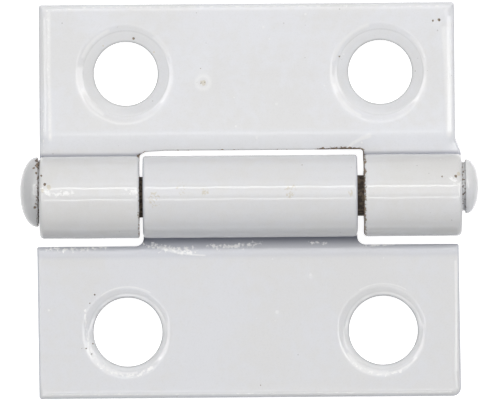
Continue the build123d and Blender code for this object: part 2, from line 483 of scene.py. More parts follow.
class Blank:
    """The flat blank of a leaf before it is folded: an outline with rounded corners, and round holes.

    The rings are rows of points beside the outline, outwards from a bore and from its ledge, and round a
    mark as shares of its radius. Each clearance is how far the even grid keeps from what it names, and a
    ring's point stays where its distance from the outline is about the ring's own.
    """

    ARC_STEP = math.radians(11.0)
    EDGE_STEP = 0.1
    BOW = 0.0005
    GRID_STEP = 0.13
    MARK_STEP = 0.08
    RINGS = (0.008, 0.03, 0.065, 0.11, 0.17, 0.25, 0.34)
    HOLE_RINGS = (0.008, 0.03, 0.065, 0.11, 0.2, 0.3)
    RIM_RINGS = (-0.09, -0.045, -0.01, 0.02, 0.055, 0.1, 0.16, 0.23, 0.31, 0.39, 0.47, 0.56)
    MARK_RINGS = (0.25, 0.5, 0.75, 1.0, 1.3)
    RING_KEPT = 0.97
    FILL_KEPT = 0.9
    BORE_CLEARANCE = 0.005
    RING_CLEARANCE = 0.06
    MARK_CLEARANCE = 0.05

    def __init__(self, corners: list[Corner], holes: list[tuple[float, float, ScrewSeat]]) -> None:
        """Rounds the outline.

        Args:
            corners: the corners in order, counter-clockwise with x to the right and s up.
            holes: the x and s of each hole's centre, and its seat.
        """
        self.holes = holes
        starts = []
        forms = []
        for index, corner in enumerate(corners):
            for point in self._rounded(corners[index - 1], corner, corners[(index + 1) % len(corners)]):
                starts.append(point)
                forms.append((corner.form.width, corner.form.depth, corner.form.back, corner.form.wear))
        self.start = np.array(starts)
        self.form = np.array(forms)
        self.end = np.roll(self.start, -1, axis=0)
        self.end_form = np.roll(self.form, -1, axis=0)

    def _rounded(self, before: Corner, corner: Corner, after: Corner) -> list[Pair]:
        """The points of one corner: itself where it is sharp, or else an arc tangent to both of its sides."""
        here = np.array((corner.x, corner.s))
        if corner.radius == 0.0:
            return [tuple(here)]
        back = np.array((before.x, before.s)) - here
        ahead = np.array((after.x, after.s)) - here
        back /= np.linalg.norm(back)
        ahead /= np.linalg.norm(ahead)
        half = math.acos(float(np.clip(back @ ahead, -1.0, 1.0))) / 2.0
        bisector = (back + ahead) / np.linalg.norm(back + ahead)
        centre = here + bisector * corner.radius / math.sin(half)
        first = here + back * corner.radius / math.tan(half) - centre
        sweep = math.pi - 2.0 * half
        turn = math.copysign(sweep, first[1] * back[0] - first[0] * back[1])
        angles = np.linspace(0.0, turn, max(2, math.ceil(sweep / self.ARC_STEP) + 1))
        along = first[0] * np.cos(angles) - first[1] * np.sin(angles)
        across = first[0] * np.sin(angles) + first[1] * np.cos(angles)
        return [(centre[0] + a, centre[1] + b) for a, b in zip(along, across)]

    def edges(self, points: np.ndarray) -> tuple[np.ndarray, np.ndarray, np.ndarray, np.ndarray]:
        """How far each point is from the outline, and what the outline's edge forms do to it.

        For each side of the outline the nearest place on it gives a distance and, between its ends, a
        form. The distance kept is the smallest, with its wear, and the drops kept are the largest.

        Args:
            points: places on the blank, one a row.

        Returns:
            The distance, the front's drop, the back's drop and the nearest edge's wear at each point.
        """
        near = np.full(len(points), np.inf)
        front = np.zeros(len(points))
        back = np.zeros(len(points))
        wear = np.zeros(len(points))
        for start, end, form, end_form in zip(self.start, self.end, self.form, self.end_form):
            share, distance = beside(points, start, end)
            mixed = form + share[:, None] * (end_form - form)
            wear = np.where(distance < near, mixed[:, 3], wear)
            near = np.minimum(near, distance)
            front = np.maximum(front, arc_drop(distance, mixed[:, 0], mixed[:, 1]))
            back = np.maximum(back, arc_drop(distance, mixed[:, 2], mixed[:, 2]))
        return near, front, back, wear

    def inside(self, points: np.ndarray) -> np.ndarray:
        """Whether each point is inside the outline, by counting the sides that a level ray crosses."""
        crossings = np.zeros(len(points), int)
        for start, end in zip(self.start, self.end):
            spans = (start[1] > points[:, 1]) != (end[1] > points[:, 1])
            rise = end[1] - start[1]
            at = start[0] + (points[:, 1] - start[1]) * (end[0] - start[0]) / (rise if rise else 1.0)
            crossings += spans & (points[:, 0] < at)
        return crossings % 2 == 1

    def holes_clear(self, points: np.ndarray) -> np.ndarray:
        """How far each point is from the nearest bore's edge, outwards."""
        clear = np.full(len(points), np.inf)
        for x, s, seat in self.holes:
            clear = np.minimum(clear, from_place(points, x, s) - seat.bore_r)
        return clear

    def _outline_points(self) -> tuple[np.ndarray, np.ndarray]:
        """The outline cut into short steps, and the direction into the sheet at each point.

        A side bows out by 4 * BOW * share * (1 - share), too little to see, so that three of its points
        are never in one line, where they would make a triangle with no area.
        """
        places = []
        inwards = []
        for start, end in zip(self.start, self.end):
            side = end - start
            length = np.linalg.norm(side)
            shares = np.arange(0.0, 1.0, 1.0 / max(1, round(length / self.EDGE_STEP)))[:, None]
            inward = np.array([[-side[1] / length, side[0] / length]])
            places.append(start + shares * side - 4.0 * self.BOW * shares * (1.0 - shares) * inward)
            inwards.append(np.repeat(inward, len(shares), axis=0))
        return np.concatenate(places), np.concatenate(inwards)

    @staticmethod
    def _circle(x: float, s: float, radius: float, step: float) -> np.ndarray:
        """Evenly spaced points on a circle, about `step` apart."""
        count = max(8, round(2.0 * math.pi * radius / step))
        angles = np.linspace(0.0, 2.0 * np.pi, count, endpoint=False)
        return np.stack((x + radius * np.cos(angles), s + radius * np.sin(angles)), axis=1)

    def triangles(self, marks: list[tuple[float, float, float]]) -> tuple[np.ndarray, np.ndarray]:
        """Fills the blank with small triangles, finer at its edges, its holes and its marks.

        Args:
            marks: the x, s and radius of each place that needs finer triangles.

        Returns:
            The points, one a row, and the triangles, counter-clockwise.
        """
        outline, inwards = self._outline_points()
        loops = [outline]
        loops += [self._circle(x, s, seat.bore_r, self.EDGE_STEP) for x, s, seat in self.holes]
        links = []
        first = 0
        for loop in loops:
            number = np.arange(len(loop)) + first
            links.append(np.stack((number, np.roll(number, -1)), axis=1))
            first += len(loop)
        filling = []
        for depth in self.RINGS:
            ring = outline + depth * inwards
            distance, *_ = self.edges(ring)
            filling.append(ring[(distance > self.RING_KEPT * depth) & self.inside(ring)])
        for x, s, seat in self.holes:
            radii = [seat.bore_r + depth for depth in self.HOLE_RINGS]
            radii += [seat.bore_r + seat.form.ledge + depth for depth in self.RIM_RINGS]
            filling += [self._circle(x, s, radius, self.EDGE_STEP) for radius in radii]
        for x, s, radius in marks:
            step = min(self.MARK_STEP, 0.5 * radius)
            filling += [self._circle(x, s, share * radius, step) for share in self.MARK_RINGS]
        filling.append(self._grid(marks))
        fill = np.concatenate(filling)
        distance, *_ = self.edges(fill)
        free = (distance > self.FILL_KEPT * self.RINGS[0]) & (self.holes_clear(fill) > self.BORE_CLEARANCE)
        fill = fill[free & self.inside(fill)]
        points = np.concatenate(loops + [fill])
        found, _, faces, *_ = delaunay_2d_cdt(
            [Vector(point) for point in points.tolist()],
            np.concatenate(links).tolist(),
            [],
            ALL_TRIANGLES,
            SAME_POINT,
        )
        found = np.array([tuple(point) for point in found])
        faces = np.array(faces)
        middles = found[faces].mean(axis=1)
        return found, faces[self.inside(middles) & (self.holes_clear(middles) > 0.0)]

    def _grid(self, marks: list[tuple[float, float, float]]) -> np.ndarray:
        """Staggered rows of points over the blank, away from its edges, the screw seats and the marks."""
        low = self.start.min(axis=0)
        high = self.start.max(axis=0)
        rows = np.arange(low[1], high[1], self.GRID_STEP * math.sqrt(0.75))
        columns = np.arange(low[0], high[0], self.GRID_STEP)
        x, s = np.meshgrid(columns, rows)
        x = x + (np.arange(len(rows)) % 2)[:, None] * self.GRID_STEP / 2.0
        points = np.stack((x.ravel(), s.ravel()), axis=1)
        points = points[self.inside(points)]
        distance, *_ = self.edges(points)
        keep = distance > self.RINGS[-1] + self.RING_CLEARANCE
        for x, s, seat in self.holes:
            clear = from_place(points, x, s) - seat.bore_r
            keep &= clear > seat.form.ledge + self.RIM_RINGS[-1] + self.RING_CLEARANCE
        for x, s, radius in marks:
            keep &= from_place(points, x, s) > self.MARK_RINGS[-1] * radius + self.MARK_CLEARANCE
        return points[keep]


@dataclass
class FoldedLeaf:
    """One leaf: a stamped sheet with two screw seats, a stepped neck and knuckles rolled round the pin.

    side is 1 where the leaf lies towards +y and -1 towards -y. The outline's corners are x, the distance
    from the pin or none at the end of the roll, the radius and the edge's form. shoulder_ease is the
    width and depth of the face's slow fall towards its edges. The next pair are the reaches where the
    painted shadow under the barrel begins and is full, and neck how far past the step's outer bend the
    neck's rougher enamel and its painted shade begin, are full, start to fade and are gone. The last
    values belong to the coat: how much of an edge's wear its wall has, how a mark fades out in shares of
    its radius, how much a blister's ring is whitened as thicker enamel and a painted highlight, how much
    of a ring's radius its wall leaves, and how far apart the fine triangles' places are along a ridge, in
    half widths.
    """

    node: str
    body: str
    side: int
    shared: HingeFrame
    mount: dict
    seat_form: SeatForm
    step_outer: float
    step_inner: float
    outline: list[tuple[float, float | None, float, EdgeForm]]
    marks: tuple[Mark, ...]
    runs: tuple[Run, ...]
    seed: int
    sheet: float = 1.2
    seam_gap: float = 0.04
    shoulder_ease: Pair = (0.5, 0.022)
    crease_shade: Pair = (3.45, 2.55)
    neck: tuple[float, float, float, float] = (0.35, 0.0, -0.5, -0.95)
    bend_r: float = 0.4
    wall_rows: int = 5
    ripple_height: float = 0.0011
    ripple_lengths: Pair = (0.9, 3.4)
    wall_wear: float = 0.35
    mark_fade: Pair = (0.6, 1.15)
    ring_highlight: float = 0.75
    ring_narrow: float = 0.8
    ridge_step: float = 1.5
    line: SheetLine = field(init=False)

    def __post_init__(self) -> None:
        """Lays out the folded sheet's middle line from the sizes."""
        half = self.sheet / 2.0
        low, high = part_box(self.node)
        outer = (high.y if self.side > 0 else -low.y) / MM
        fall = math.atan2(self.shared.step_down, self.step_outer - self.step_inner)
        bend = self.bend_r + half
        tangent = bend * math.tan(fall / 2.0)
        first = self.step_outer - half * math.tan(fall / 2.0)
        second = self.step_inner - half * math.tan(fall / 2.0)
        bore_r = self.shared.barrel_r - self.sheet
        tail = math.asin((self.seam_gap - bore_r) / self.shared.barrel_r)
        roll = 1.5 * math.pi - tail
        runs = [
            (outer - first - tangent, 0.0),
            (bend * fall, -fall),
            ((first - second) / math.cos(fall) - 2.0 * tangent, 0.0),
            (bend * fall, fall),
            (second - tangent, 0.0),
            ((bore_r + half) * roll, roll),
        ]
        self.line = SheetLine((outer, half), runs)

    def seats(self) -> list[ScrewSeat]:
        """The two screw seats, at the places and with the bores of the frame's screw mount."""
        x, y, _ = self.mount["pos_m"]
        spacing = self.mount["dims"]["spacing_x_mm"]
        bore_r = self.mount["dims"]["hole_r_mm"]
        return [
            ScrewSeat(x / MM + shift, abs(y) / MM, bore_r, self.seat_form)
            for shift in (-spacing / 2.0, spacing / 2.0)
        ]

    def s_of(self, reach: float, face: Face) -> float:
        """How far along the blank a place is, given its distance from the pin.

        On the barrel's top the heading is a half turn plus the arc sine of the reach over the barrel's
        radius, and the middle line is as many times that angle long as its own radius.
        """
        if face is FRONT:
            return self.line.s_at(reach)
        middle_r = self.shared.barrel_r - self.sheet / 2.0
        return self.line.roll_start + middle_r * (math.pi + math.asin(reach / self.shared.barrel_r))

    def mark_place(self, mark: Mark) -> tuple[float, float, float]:
        """The x, s and radius of a mark on the blank."""
        return mark.x, self.s_of(mark.reach, mark.face), mark.radius

    def run_path(self, run: Run) -> np.ndarray:
        """The points of a run on the blank, one a row."""
        return np.array([(x, self.s_of(reach, run.face)) for x, reach in run.path])

    def fine_places(self) -> list[tuple[float, float, float]]:
        """The x, s and radius of every place that needs finer triangles: the marks, and along the ridges."""
        places = [self.mark_place(mark) for mark in self.marks]
        for run in self.runs:
            if run.kind is not RIDGE:
                continue
            path = self.run_path(run)
            size = self.ridge_step * run.half_width
            for start, end in zip(path, path[1:]):
                steps = max(1, round(float(np.linalg.norm(end - start)) / size))
                places += [(*(start + (end - start) * step / steps), size) for step in range(steps)]
        return places

    def coat(self, points: np.ndarray, face: Face) -> Coat:
        """The enamel on one face.

        A mark is a bell, height * exp(-(distance / radius)^2), or a ring, where the distance is taken
        from the ring's own radius and the bell is as wide as the ring's wall. A run is a bell across its
        line.

        Args:
            points: places on the blank, one a row.
            face: which face of the sheet.

        Returns:
            The height, bareness, stain, whitening as thicker enamel and painted highlight, and likeliness of
            nibs at each place.
        """
        height = waves(points, self.seed + face.value, self.ripple_height, self.ripple_lengths)
        bare, stain, thick_and_highlight, nibs = np.zeros((4, len(points)))
        for mark in self.marks:
            if mark.face is not face:
                continue
            x, s, radius = self.mark_place(mark)
            distance = from_place(points, x, s)
            width = radius * (1.0 - self.ring_narrow * mark.ring)
            bell = np.exp(-(((distance - mark.ring * radius) / width) ** 2))
            height += mark.height * bell
            inside = fade(distance, self.mark_fade[0] * radius, self.mark_fade[1] * radius)
            bare = np.maximum(bare, mark.bare * inside)
            stain = np.maximum(stain, mark.stain * inside)
            # A blister's ring is whitened as thicker enamel and a painted highlight.
            thick_and_highlight = np.maximum(thick_and_highlight, self.ring_highlight * bell if mark.ring else 0.0)
        for run in self.runs:
            if run.face is not face:
                continue
            bell = np.exp(-((run.distance(points, self.run_path(run)) / run.half_width) ** 2))
            height += run.height * bell
            # Nibs get their own mask; ridges and bands are whitened as thicker enamel and a painted
            # highlight.
            if run.kind is NIBS:
                nibs = np.maximum(nibs, run.kind.value * bell)
            else:
                thick_and_highlight = np.maximum(thick_and_highlight, run.kind.value * bell)
        return Coat(height, bare, stain, thick_and_highlight, nibs)

    def build(self) -> bpy.types.Object:
        """Folds the blank and closes it into one solid surface.

        Each face is the triangulated blank carried off the middle line by half the sheet, less the edge's
        roll, the screw seat and plus the enamel's relief. Rows between the two faces close every edge.

        Returns:
            The leaf's object.
        """
        corners = [
            Corner(x, self.line.length if reach is None else self.line.s_at(reach), radius, form)
            for x, reach, radius, form in self.outline
        ]
        seats = self.seats()
        blank = Blank(corners, [(seat.x, self.line.s_at(seat.reach), seat) for seat in seats])
        points, triangles = blank.triangles(self.fine_places())
        count = len(points)
        half = self.sheet / 2.0
        rim, front_drop, back_drop, wear = blank.edges(points)
        clear = blank.holes_clear(points)
        wear = np.where(rim <= clear, wear, 0.0)
        front_drop = front_drop + arc_drop(rim, FILM, FILM) + arc_drop(rim, *self.shoulder_ease)
        # Painted shade round the screw seats: a little on the ledge, in a ring where the rim rises, and at
        # the bore's edge.
        painted_shade = np.zeros(count)
        for x, s, seat in blank.holes:
            distance = from_place(points, x, s) - seat.bore_r
            angle = np.arctan2(self.side * (s - points[:, 1]), points[:, 0] - x)
            front_drop += seat.form.drop(distance, angle)
            painted_shade = np.maximum(painted_shade, seat.form.painted_shade(distance))
        front_drop += arc_drop(np.maximum(clear, 0.0), FILM, FILM)
        back_drop = np.maximum(back_drop, arc_drop(np.maximum(clear, 0.0), FILM, FILM))
        front_coat = self.coat(points, FRONT)
        back_coat = self.coat(points, BACK)
        level = smooth_share(np.minimum(rim, clear), 0.0, FILM)
        front = half - front_drop + front_coat.height * level
        back = -half + back_drop - back_coat.height * level
        # Painted shadow in the fold where the sheet goes under the barrel, from the first reach to the
        # second.
        crease_shade_from, crease_shade_to = (self.line.s_at(reach) for reach in self.crease_shade)
        crease_shade = smooth_share(points[:, 1], crease_shade_from, crease_shade_to)
        # The neck's band of rougher enamel, which the finish also tints as painted shade.
        neck = [self.line.s_at(self.step_outer + past) for past in self.neck]
        matt_and_shade = smooth_share(points[:, 1], *neck[:2]) * fade(points[:, 1], *neck[2:])

        directed = np.concatenate([triangles[:, [0, 1]], triangles[:, [1, 2]], triangles[:, [2, 0]]])
        key = np.sort(directed, axis=1) @ np.array([count, 1])
        _, back_index, uses = np.unique(key, return_inverse=True, return_counts=True)
        border = directed[uses[back_index] == 1]
        on_border = np.unique(border)
        rank = np.full(count, -1)
        rank[on_border] = np.arange(len(on_border))
        shares = np.arange(1, self.wall_rows + 1) / (self.wall_rows + 1)
        wall = front[on_border][None, :] + shares[:, None] * (back - front)[on_border][None, :]

        blank_points = np.concatenate([points, points, np.tile(points[on_border], (self.wall_rows, 1))])
        offset = np.concatenate([front, back, wall.ravel()])
        reach, height = self.line.place(blank_points[:, 1], offset)
        solid = np.stack((blank_points[:, 0], self.side * reach, height), axis=1)

        rows = [border]
        for row in range(self.wall_rows):
            rows.append(2 * count + row * len(on_border) + rank[border])
        rows.append(border + count)
        quads = [
            np.stack((upper[:, 0], lower[:, 0], lower[:, 1], upper[:, 1]), axis=1)
            for upper, lower in zip(rows, rows[1:])
        ]
        faces = [triangles, triangles[:, ::-1] + count, np.concatenate(quads)]
        if self.side > 0:
            faces = [rows_of[:, ::-1] for rows_of in faces]
        near = np.minimum(rim, clear)
        walls = np.zeros(wall.size)
        wall_wear = self.wall_wear * np.tile(wear[on_border], self.wall_rows)
        masks = {
            "rim": np.concatenate([near, near, walls]),
            "wear": np.concatenate([wear, wear, wall_wear]),
        }
        for name in ("bare", "stain", "thick_and_highlight", "nibs"):
            masks[name] = np.concatenate([getattr(front_coat, name), getattr(back_coat, name), walls])
        for name, values in (("painted_shade", painted_shade), ("crease_shade", crease_shade), ("matt_and_shade", matt_and_shade)):
            masks[name] = np.concatenate([values, np.zeros(count), walls])
        piece = write_mesh(f"{self.node}_enamelled", solid, faces, masks)
        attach(piece, self.body)
        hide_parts(self.node)
        LOG.info("%s: %d points, seats at %s", piece.name, len(solid), [round(seat.x, 2) for seat in seats])
        return piece


@dataclass(frozen=True)
class PinHead:
    """A pin end upset into a dome: which end, how far it sits off the axis, and its collar, rim and dome.

    crevice_bare is how much steel shows between the head and its knuckle, and the last field is how strong
    the painted shade on the head is.
    """

    side: int
    off_axis: float
    collar_r: float
    collar: float
    head_r: float
    rim: float
    dome: float
    crevice_bare: float
    shade_share: float


@dataclass
class HeadedPin:
    """The rod through the knuckles, with a domed head at each end, as rings carried along its axis.

    step is how far in from the knuckle's end a collar meets the shank, shank_inset is how far the shank's
    own rings keep from there, swell is how far the heads are from round, crevice_from is where the bare
    ring beside a head begins, mark_fade is how a mark fades out in shares of its radius, and far is the
    distance from an edge that the mask has on the whole pin.
    """

    node: str
    body: str
    shared: HingeFrame
    half_length: float
    pin_r: float
    heads: tuple[PinHead, PinHead]
    marks: tuple[Mark, ...]
    around: int = 128
    dome_rings: int = 34
    corner_rings: int = 5
    shank_step: float = 0.12
    shank_inset: float = 0.1
    step: float = 0.01
    swell: float = 0.009
    crevice_from: float = -0.02
    mark_fade: Pair = (0.6, 1.1)
    far: float = 2.0

    def _head_rings(self, head: PinHead) -> list[tuple[float, float, float]]:
        """The x, radius and sideways shift of a head's rings, from its tip to the shank.

        The dome is a quarter ellipse: its height goes with the cosine and its radius with the sine of one
        angle.
        """
        angles = np.linspace(0.0, np.pi / 2.0, self.dome_rings)[1:]
        back = self.half_length + head.collar
        face = back + head.rim
        corner = min(FILM, head.rim)
        rings = [(face + head.dome * math.cos(a), head.head_r * math.sin(a)) for a in angles]
        rings += [
            (back + corner * (1.0 - math.sin(a)), head.head_r - corner * (1.0 - math.cos(a)))
            for a in np.linspace(0.0, np.pi / 2.0, self.corner_rings)[1:]
        ]
        rings.append((back, (head.head_r + head.collar_r) / 2.0))
        rings.append((back, head.collar_r))
        rings.append((self.half_length + head.collar / 2.0, head.collar_r))
        rings.append((self.half_length, head.collar_r))
        shifted = [(head.side * x, radius, head.off_axis) for x, radius in rings]
        return shifted + [(head.side * (self.half_length - self.step), self.pin_r, 0.0)]

    def _faces(self, ring_count: int) -> list[np.ndarray]:
        """The quads between the rings, and the triangles from the first and last rings to the two tips."""
        ring = np.arange(ring_count - 1)[:, None] * self.around
        here = np.arange(self.around)[None, :]
        ahead = (here + 1) % self.around
        after = ring + self.around
        quads = np.stack((ring + here, ring + ahead, after + ahead, after + here), axis=-1)
        last_ring = (ring_count - 1) * self.around
        tip = np.full(self.around, ring_count * self.around)
        first = np.stack((tip, ahead[0], here[0]), axis=1)
        last = np.stack((tip + 1, last_ring + here[0], last_ring + ahead[0]), axis=1)
        return [quads.reshape(-1, 4), np.concatenate([first, last])]

    def build(self) -> bpy.types.Object:
        """Lofts the rings and closes both tips.

        A head's radius grows by swell * sin(3 * turn + 1.1) * sin(2 * turn + x), so it isn't quite round.

        Returns:
            The pin's object.
        """
        shank_end = self.half_length - self.shank_inset
        shank = [(x, self.pin_r, 0.0) for x in np.arange(-shank_end, shank_end, self.shank_step)]
        left_rings, right_rings = (self._head_rings(head) for head in self.heads)
        rings = np.array(left_rings + shank + right_rings[::-1])
        x, radius, middle = (np.repeat(column, self.around) for column in rings.T)
        turn = np.tile(np.linspace(0.0, 2.0 * np.pi, self.around, endpoint=False), len(rings))
        out = np.abs(x) > self.half_length
        swell = np.where(out, self.swell, 0.0) * np.sin(3.0 * turn + 1.1) * np.sin(2.0 * turn + x)
        radius = radius + swell * np.clip(radius, 0.0, 1.0)
        axis_z = self.shared.axis_z
        points = np.stack((x, middle + radius * np.cos(turn), axis_z + radius * np.sin(turn)), axis=1)

        left, right = self.heads
        past = np.abs(x) - self.half_length
        gap = np.where(x < 0.0, left.collar + left.rim, right.collar + right.rim)
        crevice = (past > self.crevice_from) & (past < gap)
        bare = np.where(crevice, np.where(x < 0.0, left.crevice_bare, right.crevice_bare), 0.0)
        # Painted shade on the heads, as strong as each head's share.
        painted_shade = np.where(out, np.where(x < 0.0, left.shade_share, right.shade_share), 0.0)
        above = points[:, 2] > axis_z
        for mark in self.marks:
            distance = np.linalg.norm(points[:, :2] - np.array((mark.x, mark.reach)), axis=1)
            low, high = (share * mark.radius for share in self.mark_fade)
            bare = np.maximum(bare, above * mark.bare * fade(distance, low, high))
        tips = [
            (head.side * (self.half_length + head.collar + head.rim + head.dome), head.off_axis, axis_z)
            for head in self.heads
        ]
        points = np.concatenate([points, np.array(tips)])
        masks = {
            "rim": np.full(len(points), self.far),
            "bare": np.concatenate([bare, np.zeros(2)]),
            "painted_shade": np.concatenate([painted_shade, [left.shade_share, right.shade_share]]),
        }
        piece = write_mesh(f"{self.node}_finished", points, self._faces(len(rings)), masks)
        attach(piece, self.body)
        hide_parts(self.node)
        LOG.info("%s: %d rings", piece.name, len(rings))
        return piece


class NodeTree:
    """Adds shader nodes to one tree and joins them."""

    def __init__(self, tree: bpy.types.NodeTree) -> None:
        """Takes the tree, emptied of its default nodes."""
        tree.nodes.clear()
        self.tree = tree

    def add(self, kind: str, inputs: dict | None = None, **settings: object) -> bpy.types.Node:
        """Adds a node.

        Args:
            kind: the node's type name.
            inputs: by socket name or number, a socket to join or a value to set.
            settings: properties of the node.

        Returns:
            The new node.
        """
        node = self.tree.nodes.new(kind)
        for name, value in settings.items():
            setattr(node, name, value)
        for key, value in (inputs or {}).items():
            if isinstance(value, Socket):
                self.tree.links.new(value, node.inputs[key])
            else:
                node.inputs[key].default_value = value
        return node

    def math(self, operation: str, first: object, second: object, clamp: bool = False) -> Socket:
        """The result of one sum on two values."""
        settings = {"operation": operation, "use_clamp": clamp}
        return self.add("ShaderNodeMath", {0: first, 1: second}, **settings).outputs[0]

    def plus(self, first: object, second: object) -> Socket:
        """Two values added."""
        return self.math("ADD", first, second)

    def less(self, first: object, second: object) -> Socket:
        """The first value less the second."""
        return self.math("SUBTRACT", first, second)

    def times(self, first: object, second: object, clamp: bool = False) -> Socket:
        """Two values multiplied."""
        return self.math("MULTIPLY", first, second, clamp)

    def larger(self, first: object, second: object) -> Socket:
        """The larger of two values."""
        return self.math("MAXIMUM", first, second)

    def ease(self, value: object, low: float, high: float) -> Socket:
        """A share that eases from 0 at low to 1 at high."""
        inputs = {"Value": value, "From Min": low, "From Max": high}
        return self.add("ShaderNodeMapRange", inputs, interpolation_type="SMOOTHSTEP").outputs[0]

    def fade(self, value: object, low: float, high: float) -> Socket:
        """A share that eases from 1 at low to 0 at high."""
        return self.less(1.0, self.ease(value, low, high))

    def blend(self, share: object, first: object, second: object) -> Socket:
        """A colour between two colours."""
        return self.add("ShaderNodeMix", {0: share, 6: first, 7: second}, data_type="RGBA").outputs[2]

    def noise(self, place: object, scale: object, detail: float, roughness: float = 0.5) -> Socket:
        """Cloudy values about 0.5."""
        inputs = {"Vector": place, "Scale": scale, "Detail": detail, "Roughness": roughness}
        return self.add("ShaderNodeTexNoise", inputs).outputs[0]

    def group(self, tree: bpy.types.NodeTree, place: object, **inputs: object) -> Socket:
        """What a shared group puts out, with its inputs given by name."""
        return self.add("ShaderNodeGroup", {"Place": place, **inputs}, node_tree=tree).outputs[0]

    def put_out(self, value: Socket) -> bpy.types.NodeTree:
        """Joins a value to a group's output, and gives the finished group."""
        self.add("NodeGroupOutput", {0: value})
        return self.tree


def colour(red: float, green: float, blue: float) -> Colour:
    """A colour from 0 to 255 values as they look on screen, made linear.

    Each value v becomes ((v + 0.055) / 1.055)^2.4, or v / 12.92 where it is under 0.04045.
    """
    shares = [value / 255.0 for value in (red, green, blue)]
    linear = [v / 12.92 if v < 0.04045 else ((v + 0.055) / 1.055) ** 2.4 for v in shares]
    return (*linear, 1.0)


class Effects:
    """The shader node groups that more than one finish uses, each built once.

    In capitals are the levels between which a ragged patch and a whole one lie, the likeliness from which
    there are any, the smallest speck as a share, and the levels of a chip at an edge and away from it.
    """

    PATCH_LEVELS = (0.78, 0.92)
    PATCH_FROM = (0.02, 0.15)
    LIKELY_SHARE = 0.5
    SMALLEST_SPECK = 0.35
    SPECK_EDGE = (0.6, 1.1)
    CHIP_NOISE = (5.0, 4.0, 0.62)
    CHIP_LEVEL = 0.86
    CHIP_RISE = 0.4
    CHIP_EDGE = (0.0, 0.035)
    CHIP_FADE = (0.7, 1.0)

    def __init__(self) -> None:
        """Builds every group."""
        self.peel = self._peel()
        self.specks = self._specks()
        self.chips = self._chips()
        self.patches = self._patches()

    @staticmethod
    def _group(name: str, output: str, **defaults: float) -> tuple[NodeTree, list[Socket]]:
        """An empty group that takes a place and some values, and puts out one value.

        Args:
            name: the group's name.
            output: the name of what it puts out.
            defaults: the name and default of each value that it takes besides the place.

        Returns:
            The group's tree, and the sockets of the place and of each value.
        """
        tree = bpy.data.node_groups.new(name, "ShaderNodeTree")
        tree.interface.new_socket("Place", in_out="INPUT", socket_type="NodeSocketVector")
        for label, default in defaults.items():
            socket = tree.interface.new_socket(label, in_out="INPUT", socket_type="NodeSocketFloat")
            socket.default_value = default
        tree.interface.new_socket(output, in_out="OUTPUT", socket_type="NodeSocketFloat")
        nodes = NodeTree(tree)
        given = nodes.add("NodeGroupInput").outputs
        return nodes, [given[label] for label in ("Place", *defaults)]

    def _patches(self) -> bpy.types.NodeTree:
        """Ragged patches: where a noise, and a mask of how likely they are, together stand above a level."""
        nodes, (place, likely, scale) = self._group("ragged_patches", "Mask", Likely=0.0, Scale=4.0)
        lifted = nodes.plus(nodes.noise(place, scale, 4.0, 0.6), nodes.times(likely, self.LIKELY_SHARE))
        patch = nodes.ease(lifted, *self.PATCH_LEVELS)
        return nodes.put_out(nodes.times(patch, nodes.ease(likely, *self.PATCH_FROM)))

    def _peel(self) -> bpy.types.NodeTree:
        """The fine orange peel of sprayed enamel, as a height."""
        nodes, (place, scale) = self._group("orange_peel", "Height", Scale=2.2)
        return nodes.put_out(nodes.noise(place, scale, 1.5))

    def _specks(self) -> bpy.types.NodeTree:
        """Dust specks: round spots in some of the cells of a cell pattern, with soft edges."""
        defaults = {"Scale": 1.0, "Share": 0.2, "Radius": 0.1}
        nodes, (place, scale, share, radius) = self._group("dust_specks", "Mask", **defaults)
        pattern = {"Vector": place, "Scale": scale, "Randomness": 1.0}
        cells = nodes.add("ShaderNodeTexVoronoi", pattern).outputs
        draw = nodes.add("ShaderNodeSeparateColor", {0: cells["Color"]}).outputs
        chosen = nodes.math("LESS_THAN", draw[0], share)
        size = nodes.times(radius, nodes.plus(draw[1], self.SMALLEST_SPECK))
        spot = nodes.fade(nodes.math("DIVIDE", cells["Distance"], size), *self.SPECK_EDGE)
        return nodes.put_out(nodes.times(spot, chosen))

    def _chips(self) -> bpy.types.NodeTree:
        """Bare dots along an edge: where a noise stands above a level that rises away from the edge."""
        nodes, (place, rim, reach, amount) = self._group("edge_chips", "Mask", Rim=1.0, Reach=0.1, Amount=0.3)
        away = nodes.math("DIVIDE", rim, reach, clamp=True)
        start = nodes.less(self.CHIP_LEVEL, nodes.times(amount, 0.5))
        level = nodes.plus(nodes.times(away, self.CHIP_RISE), start)
        chip = nodes.ease(nodes.less(nodes.noise(place, *self.CHIP_NOISE), level), *self.CHIP_EDGE)
        return nodes.put_out(nodes.times(chip, nodes.fade(away, *self.CHIP_FADE)))


@dataclass(frozen=True)
class Speckle:
    """One kind of dust: how close its cells are, how many hold a speck, a speck's size and its strength."""

    scale: float
    share: float
    radius: float
    strength: float

    def mask(self, nodes: NodeTree, place: Socket, effects: Effects) -> Socket:
        """Where the specks are, as strong as they are."""
        spots = nodes.group(effects.specks, place, Scale=self.scale, Share=self.share, Radius=self.radius)
        return nodes.times(spots, self.strength)


